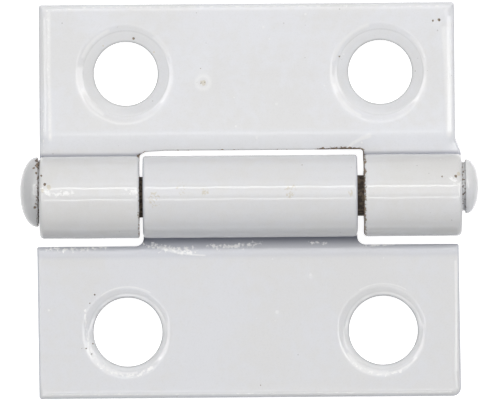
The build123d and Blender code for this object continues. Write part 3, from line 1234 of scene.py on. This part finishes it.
@dataclass(frozen=True)
class EnamelFinish:
    """Glossy white enamel over steel, with dust, chips and a faint yellowing.

    The colours come first, then how rough and how uneven the coat is. Some colours are painted light:
    greys for painted shade along the edges, on the seats and the pin's heads, in the neck, in the fold
    under the barrel and over the barrel's upper part, and a brighter white for painted highlights where
    the enamel runs thicker. Each share is how strongly its effect changes the colour, each scale is a
    noise's, the levels are what a noise or mask has to stand between, and widths, reaches and heights
    are in millimetres.
    """

    name: str
    white: Colour = colour(227, 228, 231)
    warm: Colour = colour(224, 224, 224)
    # A bluish grey for painted shade along every edge, where the enamel also runs thin.
    thin_edge_shade: Colour = colour(180, 183, 194)
    # A brighter white for thicker enamel and for painted highlights on ridges, bands, blister rings and nibs.
    thick_and_highlight: Colour = colour(243, 243, 242)
    # A grey for painted shade in the screw seats and on the pin's heads.
    shade_grey: Colour = colour(186, 187, 187)
    # A bluish grey for the painted shadow in the fold under the barrel's overhang.
    crease_shade: Colour = colour(152, 155, 168)
    # A darker, warmer grey for painted shade over the barrel's upper part.
    knuckle: Colour = colour(189, 184, 170)
    # A bluish white for painted shade in the neck, where the sheet steps down to the barrel.
    neck: Colour = colour(226, 228, 232)
    stain: Colour = colour(190, 176, 138)
    dust: Colour = colour(150, 147, 143)
    steel: Colour = colour(88, 76, 66)
    rust: Colour = colour(140, 124, 106)
    roughness: float = 0.04
    smear_roughness: float = 0.06
    neck_roughness: float = 0.12
    chip_roughness: float = 0.6
    peel_height: float = 0.001
    peel_scale: float = 1.1
    nibs_proud: float = 6.0
    chips_deep: float = 8.0
    edge_shade_width: float = 0.15
    edge_shade_share: float = 0.25
    barrel_shade_from: Pair = (1.9, 3.4)
    barrel_shade_share: float = 0.0
    neck_shade_share: float = 0.5
    highlight_share: float = 0.6
    cloud_scales: Pair = (0.2, 1.7)
    cloud_levels: Pair = (0.58, 0.92)
    highlight_levels: Pair = (0.25, 1.0)
    smear_scale: float = 0.5
    refraction: float = 1.5
    nib_scale: float = 4.5
    stain_scale: float = 7.0
    stain_share: float = 0.42
    grain_scale: float = 9.0
    grain_share: float = 0.2
    chip_reach: float = 0.26
    ragged_scale: float = 6.0
    raggedness: float = 1.8
    bare_from: float = 0.02
    bare_levels: Pair = (0.42, 0.58)
    rust_scale: float = 5.0
    rust_levels: Pair = (0.4, 0.62)
    pale_dust: Speckle = Speckle(0.9, 0.3, 0.06, 0.6)
    fine_dust: Speckle = Speckle(1.5, 0.24, 0.07, 0.4)
    large_dust: Speckle = Speckle(0.45, 0.3, 0.05, 0.65)
    bare_gap: Pair | None = None

    def make(self, effects: Effects) -> bpy.types.Material:
        """Builds the material.

        Args:
            effects: the shared node groups.

        Returns:
            The material.
        """
        material = bpy.data.materials.new(self.name)
        material.use_nodes = True
        nodes = NodeTree(material.node_tree)
        object_place = nodes.add("ShaderNodeTexCoord").outputs["Object"]
        place = nodes.add("ShaderNodeMapping", {"Vector": object_place, "Scale": (1 / MM,) * 3}).outputs[0]
        masks = {name: nodes.add("ShaderNodeAttribute", attribute_name=name).outputs["Fac"] for name in MASKS}
        nibs = nodes.group(effects.patches, place, Likely=masks["nibs"], Scale=self.nib_scale)
        lost = self._lost(nodes, place, masks, effects)
        tone = nodes.blend(lost, self._coat(nodes, place, masks, nibs, effects), self._rusty(nodes, place))

        peel = nodes.group(effects.peel, place, Scale=self.peel_scale)
        proud = nodes.plus(peel, nodes.times(nibs, self.nibs_proud))
        height = nodes.less(proud, nodes.times(lost, self.chips_deep))
        relief = {"Height": height, "Strength": 1.0, "Distance": self.peel_height * MM}
        bump = nodes.add("ShaderNodeBump", relief)
        smear = nodes.times(nodes.noise(place, self.smear_scale, 3.0), self.smear_roughness)
        rough = nodes.plus(nodes.times(lost, self.chip_roughness), nodes.plus(smear, self.roughness))
        rough = nodes.plus(rough, nodes.times(masks["matt_and_shade"], self.neck_roughness))
        coat = {"Base Color": tone, "Roughness": rough, "Normal": bump.outputs[0], "IOR": self.refraction}
        shader = nodes.add("ShaderNodeBsdfPrincipled", coat)
        nodes.add("ShaderNodeOutputMaterial", {"Surface": shader.outputs[0]})
        return material

    def _coat(
        self,
        nodes: NodeTree,
        place: Socket,
        masks: dict[str, Socket],
        nibs: Socket,
        effects: Effects,
    ) -> Socket:
        """The enamel's colour: its slow clouds, painted shade at the edges, over the barrel's upper part, in
        the neck, the seats and the fold under the barrel, whiter painted highlights where it runs thicker,
        stains and dust.
        """
        slow, quick = self.cloud_scales
        cloud = nodes.plus(nodes.noise(place, slow, 4.0), nodes.times(nodes.noise(place, quick, 2.0), 0.5))
        tone = nodes.blend(nodes.ease(cloud, *self.cloud_levels), self.white, self.warm)
        # Painted shade along every edge and at the bores, where the enamel also runs thin.
        edge = nodes.times(nodes.fade(masks["rim"], 0.0, self.edge_shade_width), self.edge_shade_share)
        tone = nodes.blend(edge, tone, self.thin_edge_shade)
        # Painted shade, a little warm, over the barrel's upper part, growing with height.
        lift = nodes.add("ShaderNodeSeparateXYZ", {0: place}).outputs[2]
        top = nodes.times(nodes.ease(lift, *self.barrel_shade_from), self.barrel_shade_share)
        tone = nodes.blend(top, tone, self.knuckle)
        # Painted shade in the neck's rougher band.
        tone = nodes.blend(nodes.times(masks["matt_and_shade"], self.neck_shade_share), tone, self.neck)
        # Painted shade in the screw seats and on the pin's heads.
        tone = nodes.blend(masks["painted_shade"], tone, self.shade_grey)
        # Painted shadow in the fold under the barrel.
        tone = nodes.blend(masks["crease_shade"], tone, self.crease_shade)
        # Painted highlight: whiter where the enamel runs thicker, on ridges, bands, blister rings and nibs.
        whole = nodes.times(nodes.ease(masks["thick_and_highlight"], *self.highlight_levels), self.highlight_share)
        tone = nodes.blend(nodes.larger(whole, nibs), tone, self.thick_and_highlight)
        yellow = nodes.group(effects.patches, place, Likely=masks["stain"], Scale=self.stain_scale)
        tone = nodes.blend(nodes.times(yellow, self.stain_share), tone, self.stain)
        tone = nodes.blend(self.pale_dust.mask(nodes, place, effects), tone, self.thick_and_highlight)
        grain = nodes.less(nodes.noise(place, self.grain_scale, 2.0), 0.5)
        tone = nodes.blend(nodes.times(grain, self.grain_share, clamp=True), tone, self.dust)
        specks = (kind.mask(nodes, place, effects) for kind in (self.fine_dust, self.large_dust))
        return nodes.blend(nodes.larger(*specks), tone, self.dust)

    def _lost(
        self,
        nodes: NodeTree,
        place: Socket,
        masks: dict[str, Socket],
        effects: Effects,
    ) -> Socket:
        """Where the enamel is gone: ragged spots, chips along the edges, and the pin between its heads."""
        bare, rim, wear = masks["bare"], masks["rim"], masks["wear"]
        uneven = nodes.times(nodes.less(nodes.noise(place, self.ragged_scale, 3.0), 0.5), self.raggedness)
        ragged = nodes.ease(nodes.plus(bare, uneven), *self.bare_levels)
        spots = nodes.times(ragged, nodes.math("GREATER_THAN", bare, self.bare_from))
        chips = nodes.group(effects.chips, place, Rim=rim, Reach=self.chip_reach, Amount=wear)
        lost = nodes.larger(spots, chips)
        if self.bare_gap is None:
            return lost
        x = nodes.math("ABSOLUTE", nodes.add("ShaderNodeSeparateXYZ", {0: place}).outputs[0], 0.0)
        return nodes.larger(lost, nodes.fade(x, *self.bare_gap))

    def _rusty(self, nodes: NodeTree, place: Socket) -> Socket:
        """Bare steel, brown and uneven."""
        share = nodes.ease(nodes.noise(place, self.rust_scale, 4.0), *self.rust_levels)
        return nodes.blend(share, self.steel, self.rust)


@dataclass(frozen=True)
class Lamp:
    """A flat lamp that faces the hinge: where it stands, its size and its brightness.

    towards_y and towards_x are degrees from the zenith. across_x and across_y are the angles that it
    fills, and radiance is the brightness that a mirror would show, where 1 is white.
    """

    name: str
    towards_y: float
    towards_x: float
    across_x: float
    across_y: float
    radiance: float


@dataclass
class Studio:
    """The camera, lamps, world and floor. None of it is part of the hinge."""

    camera_height: float = 0.6
    picture_width: float = 0.0302
    sensor: float = 36.0
    roll: float = 0.45
    aim: Pair = (-0.00004, -0.00022)
    lamp_distance: float = 0.5
    ambient: float = 0.25
    ambient_tint: Colour = (0.93, 0.98, 1.06, 1.0)
    lamp_tint: tuple[float, float, float] = (1.02, 1.0, 0.98)
    floor_size: float = 4.0
    floor_white: float = 0.55
    floor_glow: float = 0.9
    lamps: tuple[Lamp, ...] = (
        Lamp("tent", 14.0, 0.0, 80.0, 20.0, 1.0),
        Lamp("strip_ahead", 26.0, 0.0, 80.0, 4.8, 4.3),
        Lamp("tent_far", 37.5, 0.0, 80.0, 8.0, 0.8),
        Lamp("tent_low", 67.0, 0.0, 80.0, 30.0, 0.24),
        Lamp("strip_behind", -7.0, 0.0, 80.0, 3.2, 3.6),
        Lamp("behind_low", -55.0, 0.0, 80.0, 40.0, 0.15),
        Lamp("left_box", 10.0, -40.0, 18.0, 26.0, 2.2),
        Lamp("right_box", 10.0, 40.0, 18.0, 26.0, 2.9),
    )

    def build(self, floor_z: float) -> None:
        """Makes everything.

        Args:
            floor_z: the height of the hinge's lowest point, in metres.
        """
        self._camera()
        self._world()
        for lamp in self.lamps:
            self._lamp(lamp)
        self._floor(floor_z)

    def _camera(self) -> None:
        """A long lens straight above the hinge, turned a little, as in the photograph."""
        data = bpy.data.cameras.new("camera")
        data.sensor_width = self.sensor
        data.lens = self.sensor * self.camera_height / self.picture_width
        data.clip_start = 0.05
        data.clip_end = 20.0
        camera = bpy.data.objects.new("camera", data)
        camera.location = (*self.aim, self.camera_height)
        camera.rotation_euler = (0.0, 0.0, -math.radians(self.roll))
        bpy.context.scene.collection.objects.link(camera)
        bpy.context.scene.camera = camera

    def _world(self) -> None:
        """An even white surround: white to the camera and in reflections, and dimmer as light."""
        world = bpy.data.worlds.new("surround")
        world.use_nodes = True
        nodes = NodeTree(world.node_tree)
        seen = self._seen(nodes)
        dim = nodes.add("ShaderNodeBackground", {"Color": self.ambient_tint, "Strength": self.ambient})
        white = nodes.add("ShaderNodeBackground", {"Color": (1, 1, 1, 1), "Strength": 1.0})
        mixed = nodes.add("ShaderNodeMixShader", {0: seen, 1: dim.outputs[0], 2: white.outputs[0]})
        nodes.add("ShaderNodeOutputWorld", {"Surface": mixed.outputs[0]})
        bpy.context.scene.world = world

    @staticmethod
    def _seen(nodes: NodeTree) -> Socket:
        """1 where a surface is seen by the camera, in a reflection or through glass."""
        path = nodes.add("ShaderNodeLightPath").outputs
        bounced = nodes.larger(path["Is Glossy Ray"], path["Is Transmission Ray"])
        return nodes.larger(path["Is Camera Ray"], bounced)

    def _lamp(self, lamp: Lamp) -> None:
        """Hangs one lamp.

        Its height, its offset and its size follow from its angles at the lamp distance. A flat lamp of
        power P and area A has a radiance of P / (4 A) here.
        """
        data = bpy.data.lights.new(lamp.name, "AREA")
        data.shape = "RECTANGLE"
        data.size = 2.0 * self.lamp_distance * math.tan(math.radians(lamp.across_x / 2.0))
        data.size_y = 2.0 * self.lamp_distance * math.tan(math.radians(lamp.across_y / 2.0))
        data.energy = 4.0 * data.size * data.size_y * lamp.radiance
        data.color = self.lamp_tint
        light = bpy.data.objects.new(lamp.name, data)
        lean_y = math.radians(lamp.towards_y)
        lean_x = math.radians(lamp.towards_x)
        level = math.cos(lean_x)
        up = Vector((math.sin(lean_x), level * math.sin(lean_y), level * math.cos(lean_y)))
        light.location = up * self.lamp_distance
        along = (Vector((1.0, 0.0, 0.0)) - up * up.x).normalized()
        light.rotation_euler = Matrix((along, up.cross(along), up)).transposed().to_euler()
        light.visible_camera = False
        bpy.context.scene.collection.objects.link(light)

    def _floor(self, floor_z: float) -> None:
        """A white floor that glows a little where it is seen, and still takes the hinge's shadow."""
        half = self.floor_size / 2.0
        corners = [(x, y, floor_z) for x, y in ((-half, -half), (half, -half), (half, half), (-half, half))]
        mesh = bpy.data.meshes.new("floor")
        mesh.from_pydata(corners, [], [(0, 1, 2, 3)])
        floor = bpy.data.objects.new("floor", mesh)
        bpy.context.scene.collection.objects.link(floor)
        material = bpy.data.materials.new("floor_white")
        material.use_nodes = True
        nodes = NodeTree(material.node_tree)
        white = (self.floor_white,) * 3 + (1.0,)
        diffuse = nodes.add("ShaderNodeBsdfDiffuse", {"Color": white})
        strength = nodes.times(self._seen(nodes), self.floor_glow)
        glow = nodes.add("ShaderNodeEmission", {"Color": (1, 1, 1, 1), "Strength": strength})
        both = nodes.add("ShaderNodeAddShader", {0: diffuse.outputs[0], 1: glow.outputs[0]})
        nodes.add("ShaderNodeOutputMaterial", {"Surface": both.outputs[0]})
        mesh.materials.append(material)
        floor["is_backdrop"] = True


def arc(centre: Pair, radius: float, start: float, end: float) -> tuple[Pair, ...]:
    """The points of an arc round a screw hole, RUN_STEP or less apart.

    The point at angle a is (x + radius * cos(a), reach + radius * sin(a)).

    Args:
        centre: the hole's x and reach.
        radius: the arc's radius.
        start: the angle where it begins, in degrees from +x towards the leaf's outer edge.
        end: the angle where it ends.

    Returns:
        The x and reach of each point.
    """
    angles = np.radians(np.linspace(start, end, 1 + math.ceil(abs(end - start) / RUN_STEP)))
    return tuple(zip(centre[0] + radius * np.cos(angles), centre[1] + radius * np.sin(angles)))


def two_knuckle_leaf(frame: dict, shared: HingeFrame) -> FoldedLeaf:
    """The leaf with the outer knuckles, at the top of the photograph."""
    low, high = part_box("two_knuckle_leaf")
    left, right = low.x / MM, high.x / MM
    side_right = 12.36
    gap_left, gap_right = -6.69, 6.80
    shoulder = 2.93
    plain = EdgeForm(0.1, 0.05, wear=0.72)
    worn = EdgeForm(0.1, 0.05, wear=1.3)
    knuckle = EdgeForm(0.08, 0.05, 0.26, wear=0.45)
    gap_side = EdgeForm(0.08, 0.05, 0.26, wear=1.05)
    outer = EdgeForm(0.35, 0.24)
    left_side = EdgeForm(0.66, 0.26)
    right_side = EdgeForm(0.95, 0.22)
    outline = [
        (left, high.y / MM, 0.16, outer),
        (side_right, high.y / MM, 0.16, outer),
        (side_right, 10.6, 0.0, right_side),
        (side_right, 3.37, 0.3, right_side),
        (right, 2.65, 0.3, knuckle),
        (right, None, 0.0, knuckle),
        (gap_right, None, 0.0, gap_side),
        (gap_right, shoulder, 0.2, gap_side),
        (6.4, shoulder, 0.0, worn),
        (4.4, shoulder, 0.0, worn),
        (3.6, shoulder, 0.0, plain),
        (gap_left + 1.5, shoulder, 0.6, plain),
        (gap_left + 0.35, 2.86, 0.3, plain),
        (gap_left, 2.67, 0.2, worn),
        (gap_left, None, 0.0, knuckle),
        (left, None, 0.0, knuckle),
        (left, 2.5, 0.0, knuckle),
        (left, 3.5, 0.0, left_side),
        (left, 10.8, 0.0, left_side),
    ]
    marks = (
        Mark(-2.81, 6.88, 0.5, 0.012, ring=0.8),
        Mark(-2.81, 6.87, 0.22, stain=1.0),
        Mark(-2.93, 6.83, 0.07, -0.01, bare=0.6),
        Mark(-2.69, 6.91, 0.06, -0.01, bare=0.5),
        Mark(-2.96, 7.73, 0.05, -0.005, bare=0.5),
        Mark(11.44, 10.55, 0.1, -0.02, bare=1.0),
        Mark(11.07, 10.5, 0.07, -0.01, bare=0.9),
        Mark(4.46, 3.4, 0.06, -0.005, bare=0.6),
        Mark(-6.98, 9.57, 0.09, -0.01, bare=0.9),
        Mark(-5.76, 8.74, 0.08, -0.01, stain=1.0),
        Mark(-5.81, 8.07, 0.07, -0.01, stain=1.0),
        Mark(-8.82, 9.14, 0.07, -0.01, stain=1.0),
        Mark(-12.56, 1.35, 0.08, -0.01, bare=0.9, face=BACK),
        Mark(-12.35, 0.81, 0.09, -0.01, bare=0.8, stain=1.0, face=BACK),
        Mark(-12.1, 0.62, 0.16, stain=1.0, face=BACK),
        Mark(-12.45, 0.45, 0.14, stain=0.9, face=BACK),
        Mark(11.5, 1.1, 0.07, -0.01, bare=0.7, face=BACK),
        Mark(12.48, 1.25, 0.14, stain=1.0, face=BACK),
        Mark(12.3, 1.1, 0.1, bare=0.6, stain=1.0, face=BACK),
        Mark(0.84, 10.19, 0.1, 0.008, ring=0.5),
        Mark(1.6, 5.55, 0.1, 0.008, ring=0.5),
        Mark(0.39, 3.68, 0.08, 0.008, ring=0.5),
        Mark(5.41, 8.39, 0.06, -0.005, bare=0.8),
        Mark(5.55, 8.2, 0.045, bare=0.5),
        Mark(10.15, 8.26, 0.05, bare=0.5),
        Mark(9.96, 7.48, 0.05, bare=0.6),
    )
    left_seat, right_seat = (-7.47, 7.45), (7.87, 7.45)
    left_roll = ((-12.1, 11.1), (-12.13, 7.5), (-12.06, 3.7))
    # The bands are painted highlights along the rolled edges and round the seats' rims; the ridges and nibs
    # are raised enamel that the finish also whitens as a painted highlight.
    runs = (
        Run(RIDGE, ((5.85, 3.02), (6.2, 3.34), (6.7, 3.6), (7.2, 3.72)), 0.13, 0.012),
        Run(HIGHLIGHT_BAND, arc(left_seat, 2.8, 112.0, 158.0), 0.13),
        Run(HIGHLIGHT_BAND, arc(left_seat, 2.8, 200.0, 240.0), 0.13),
        Run(HIGHLIGHT_BAND, arc(left_seat, 2.76, 22.0, 52.0), 0.09),
        Run(HIGHLIGHT_BAND, arc(right_seat, 2.9, 105.0, 165.0), 0.15),
        Run(HIGHLIGHT_BAND, arc(right_seat, 2.88, 195.0, 245.0), 0.12),
        Run(HIGHLIGHT_BAND, arc(right_seat, 2.8, 18.0, 48.0), 0.08),
        Run(NIBS, ((-12.6, 0.5), (-11.9, 0.2), (-10.7, 0.3)), 0.2, face=BACK),
        Run(NIBS, ((-7.5, 0.4), (-6.8, 0.25)), 0.25, face=BACK),
        Run(NIBS, ((12.0, 0.95), (12.6, 0.5)), 0.26, face=BACK),
        Run(HIGHLIGHT_BAND, left_roll, 0.17),
        Run(NIBS, left_roll, 0.14),
        Run(HIGHLIGHT_BAND, ((11.75, 10.0), (11.9, 8.0), (12.02, 3.8)), 0.26),
        Run(NIBS, ((-12.3, 11.3), (-10.0, 11.45), (-5.0, 11.45), (3.0, 11.45), (11.8, 11.4)), 0.06),
        Run(NIBS, ((-12.5, 6.0), (-12.45, 2.9)), 0.07),
    )
    return FoldedLeaf(
        node="two_knuckle_leaf",
        body="pinned_leaf",
        side=1,
        shared=shared,
        mount=find_mount(frame, "two_knuckle_leaf_screws"),
        seat_form=SeatForm(ledge=0.65, rim=0.4, depth=0.16, fall=0.012, lean=0.4, turn=205.0, shade_share=1.0),
        crease_shade=(2.95, 2.55),
        step_outer=3.85,
        step_inner=2.55,
        outline=outline,
        marks=marks,
        runs=runs,
        seed=11,
    )


def centre_knuckle_leaf(frame: dict, shared: HingeFrame) -> FoldedLeaf:
    """The leaf with the centre knuckle, at the bottom of the photograph."""
    low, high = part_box("centre_knuckle_leaf")
    reach = -low.y / MM
    gap_left, gap_right = -6.48, 6.42
    shoulder = 3.12
    plain = EdgeForm(0.12, 0.07, wear=0.55)
    knuckle = EdgeForm(0.08, 0.05, 0.26, wear=0.4)
    outer = EdgeForm(0.36, 0.24)
    left_side = EdgeForm(0.2, 0.14)
    right_side = EdgeForm(0.5, 0.26)
    outline = [
        (-12.83, reach, 0.16, outer),
        (high.x / MM, reach, 0.5, outer),
        (12.6, 10.8, 0.0, right_side),
        (12.52, shoulder, 0.1, plain),
        (gap_right, shoulder, 0.5, plain),
        (gap_right, None, 0.0, knuckle),
        (gap_left, None, 0.0, knuckle),
        (gap_left, shoulder, 0.5, plain),
        (low.x / MM, shoulder, 0.1, plain),
        (-12.89, 3.6, 0.0, left_side),
        (-12.84, 11.2, 0.0, left_side),
    ]
    marks = (
        Mark(-9.45, 5.86, 0.06, -0.01, bare=0.7),
        Mark(-9.75, 6.37, 0.05, -0.01, bare=0.5),
        Mark(-9.99, 9.09, 0.055, -0.01, bare=0.7),
        Mark(-10.24, 9.09, 0.05, -0.01, bare=0.6),
        Mark(-9.58, 8.82, 0.06, -0.01, bare=0.6),
        Mark(-9.66, 9.43, 0.06, -0.005, bare=0.5),
        Mark(-4.07, 9.97, 0.05, -0.005, bare=0.5),
        Mark(3.58, 4.75, 0.1, 0.008, ring=0.5),
        Mark(1.54, 6.98, 0.13, 0.01, ring=0.5),
        Mark(0.51, 11.38, 0.05, -0.005, bare=0.6),
        Mark(-5.8, 0.15, 0.5, stain=0.62, face=BACK),
        Mark(-4.2, -0.6, 0.5, stain=0.5, face=BACK),
        Mark(-2.75, -0.3, 0.3, stain=0.7, face=BACK),
        Mark(2.4, -0.3, 0.45, stain=0.62, face=BACK),
        Mark(6.0, -0.15, 0.2, stain=0.7, face=BACK),
        Mark(3.1, -1.85, 0.05, bare=0.5, face=BACK),
        Mark(4.49, -2.25, 0.05, bare=0.5, face=BACK),
    )
    left_seat, right_seat = (-7.46, 8.13), (7.94, 8.13)
    # The bands are painted highlights along the rolled edges and round the seats' rims; the ridges and nibs
    # are raised enamel that the finish also whitens as a painted highlight.
    runs = (
        Run(NIBS, ((-6.4, 3.0), (-5.6, 3.2), (-4.5, 3.3), (-3.4, 3.35)), 0.26),
        Run(RIDGE, ((-5.5, 3.2), (-5.0, 3.3), (-4.3, 3.42)), 0.09, 0.006),
        Run(RIDGE, ((-4.4, 3.42), (-3.6, 3.5), (-2.8, 3.54)), 0.05, 0.005),
        Run(NIBS, ((-2.6, 3.15), (-1.2, 3.2), (-0.2, 3.15), (0.6, 3.05)), 0.22),
        Run(NIBS, ((-12.4, 3.2), (-11.0, 3.3), (-9.6, 3.2), (-8.8, 3.18)), 0.15),
        Run(NIBS, ((-10.05, 6.6), (-9.95, 8.2), (-9.75, 9.4)), 0.1),
        Run(NIBS, ((3.4, 3.0), (4.6, 3.1)), 0.16),
        Run(NIBS, ((6.6, 3.2), (8.6, 3.15)), 0.1),
        Run(HIGHLIGHT_BAND, arc(left_seat, 2.56, 105.0, 155.0), 0.2, 0.003),
        Run(HIGHLIGHT_BAND, arc(left_seat, 2.5, 78.0, 105.0), 0.09),
        Run(NIBS, arc(left_seat, 2.6, 55.0, 145.0), 0.2),
        Run(HIGHLIGHT_BAND, arc(left_seat, 2.74, -125.0, -60.0), 0.05),
        Run(HIGHLIGHT_BAND, arc(right_seat, 2.6, 85.0, 145.0), 0.2, 0.003),
        Run(HIGHLIGHT_BAND, arc(right_seat, 2.6, 40.0, 85.0), 0.08),
        Run(NIBS, arc(right_seat, 2.65, 60.0, 140.0), 0.18),
        Run(HIGHLIGHT_BAND, arc(right_seat, 2.8, -120.0, -60.0), 0.05),
        Run(HIGHLIGHT_BAND, ((-12.6, 11.88), (12.0, 11.88)), 0.08, 0.003),
        Run(NIBS, ((-12.4, 11.9), (12.0, 11.9)), 0.06),
        Run(HIGHLIGHT_BAND, ((12.32, 4.0), (12.36, 10.6)), 0.1),
    )
    return FoldedLeaf(
        node="centre_knuckle_leaf",
        body="swinging_leaf",
        side=-1,
        shared=shared,
        mount=find_mount(frame, "centre_knuckle_leaf_screws"),
        seat_form=SeatForm(ledge=0.27, rim=0.34, depth=0.14, fall=0.012, lean=0.6, turn=220.0, shade_share=0.7),
        step_outer=3.45,
        step_inner=2.4,
        outline=outline,
        marks=marks,
        runs=runs,
        seed=23,
    )


def hinge_pin(shared: HingeFrame) -> HeadedPin:
    """The pin, with the larger head on the left."""
    left = PinHead(
        side=-1,
        off_axis=0.36,
        collar_r=1.9,
        collar=0.07,
        head_r=2.1,
        rim=0.1,
        dome=1.02,
        crevice_bare=0.4,
        shade_share=0.74,
    )
    right = PinHead(
        side=1,
        off_axis=0.5,
        collar_r=1.475,
        collar=0.21,
        head_r=1.64,
        rim=0.06,
        dome=0.76,
        crevice_bare=0.33,
        shade_share=0.0,
    )
    marks = (
        Mark(-12.86, 2.24, 0.1, bare=0.95),
        Mark(-12.83, 1.94, 0.13, bare=0.95),
        Mark(-13.0, 1.78, 0.1, bare=0.9),
        Mark(-12.86, 1.5, 0.08, bare=0.9),
        Mark(-12.9, -0.32, 0.07, bare=0.85),
        Mark(-12.95, -0.58, 0.11, bare=0.95),
    )
    return HeadedPin(
        node="hinge_pin",
        body="pinned_leaf",
        shared=shared,
        half_length=12.7,
        pin_r=1.225,
        heads=(left, right),
        marks=marks,
    )


def find_mount(frame: dict, name: str) -> dict:
    """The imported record's mount of that name."""
    return next(mount for mount in frame["record"]["mounts"] if mount["name"] == name)


def main() -> None:
    """Loads the frame, builds the three pieces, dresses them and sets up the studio."""
    logging.basicConfig(level=logging.INFO)
    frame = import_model()
    cad_low, cad_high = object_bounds()
    shared = HingeFrame.read(frame)
    effects = Effects()
    white = EnamelFinish("white_enamel", barrel_shade_share=0.17).make(effects)
    # The centre-knuckle leaf's enamel is the same white painted darker: painted shade for its flats, which
    # read darker under the same lamps, with deeper painted shade in the fold under the barrel, in its neck
    # and along its edges.
    shaded_enamel = EnamelFinish(
        "shaded_white_enamel",
        white=colour(221, 222, 225),
        warm=colour(220, 220, 220),
        crease_shade=colour(130, 133, 146),
        neck=colour(196, 199, 208),
        thin_edge_shade=colour(170, 177, 197),
        edge_shade_share=0.4,
        barrel_shade_share=0.07,
    ).make(effects)
    pin_finish = EnamelFinish("pin_enamel_and_steel", bare_gap=(12.6, 12.75)).make(effects)
    for maker, material in (
        (two_knuckle_leaf(frame, shared), white),
        (centre_knuckle_leaf(frame, shared), shaded_enamel),
        (hinge_pin(shared), pin_finish),
    ):
        piece = maker.build()
        piece.data.materials.append(material)
    Studio().build(cad_low.z - FLOOR_GAP)
    bpy.context.scene.view_settings.view_transform = "Standard"


if __name__ == "__main__":
    main()
